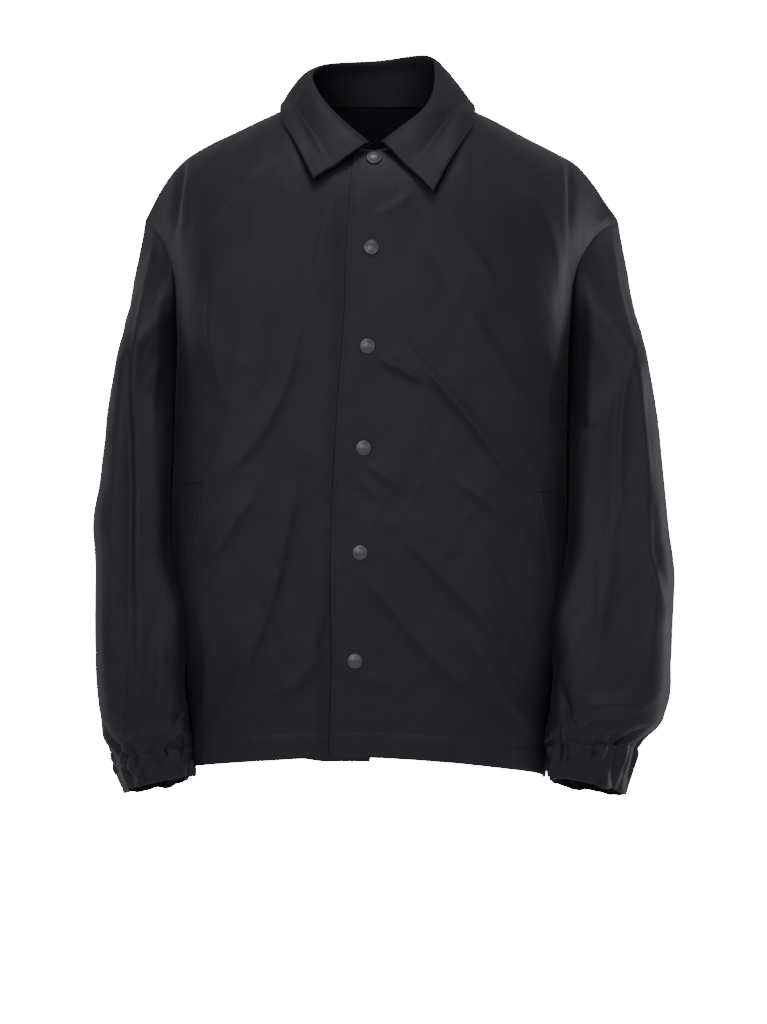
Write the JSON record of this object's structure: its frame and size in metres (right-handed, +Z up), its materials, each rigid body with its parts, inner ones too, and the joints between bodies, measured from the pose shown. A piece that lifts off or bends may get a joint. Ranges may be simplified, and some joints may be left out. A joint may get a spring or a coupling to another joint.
{
  "type": "coach jacket",
  "caption": "Black cloth jacket in worn form: pointed collar, snap front, slanted welt pockets, long sleeves gathered into elastic cuffs, straight hem; hollow and open.",
  "frame": {"origin": "base of the neck, midway between the two shoulder seams' neck ends, where the wearer's shoulders carry the jacket", "axes": "+X towards the wearer's left sleeve, -Y out of the front, +Z up through the collar"},
  "size_m": [0.5806, 0.2742, 0.7605],
  "materials": {
    "front_left": "black plain-weave shell cloth, matt with a slight sheen",
    "front_right": "black plain-weave shell cloth, matt with a slight sheen",
    "back": "black plain-weave shell cloth, matt with a slight sheen",
    "sleeve_left": "black plain-weave shell cloth, matt with a slight sheen",
    "sleeve_right": "black plain-weave shell cloth, matt with a slight sheen",
    "cuff_left": "black woven shell cloth gathered over elastic",
    "cuff_right": "black woven shell cloth gathered over elastic",
    "collar": "black plain-weave shell cloth, matt with a slight sheen",
    "pocket_welt_left": "black plain-weave shell cloth, matt with a slight sheen",
    "pocket_welt_right": "black plain-weave shell cloth, matt with a slight sheen",
    "snap_1": "satin gunmetal lacquer on a pressed brass cap",
    "snap_2": "satin gunmetal lacquer on a pressed brass cap",
    "snap_3": "satin gunmetal lacquer on a pressed brass cap",
    "snap_4": "satin gunmetal lacquer on a pressed brass cap",
    "snap_5": "satin gunmetal lacquer on a pressed brass cap",
    "snap_6": "satin gunmetal lacquer on a pressed brass cap"
  },
  "bodies": {
    "root": {"front_left_upper": "front_left", "front_left_lower": "front_left", "front_right_upper": "front_right", "front_right_lower": "front_right", "back_left_upper": "back", "back_left_lower": "back", "back_right_upper": "back", "back_right_lower": "back", "sleeve_left_upper": "sleeve_left", "sleeve_left_lower": "sleeve_left", "sleeve_right_upper": "sleeve_right", "sleeve_right_lower": "sleeve_right", "cuff_left": "cuff_left", "cuff_right": "cuff_right", "collar": "collar", "pocket_welt_left": "pocket_welt_left", "pocket_welt_right": "pocket_welt_right", "snap_1": "snap_1", "snap_2": "snap_2", "snap_3": "snap_3", "snap_4": "snap_4", "snap_5": "snap_5", "snap_6": "snap_6"}
  },
  "joints": []
}
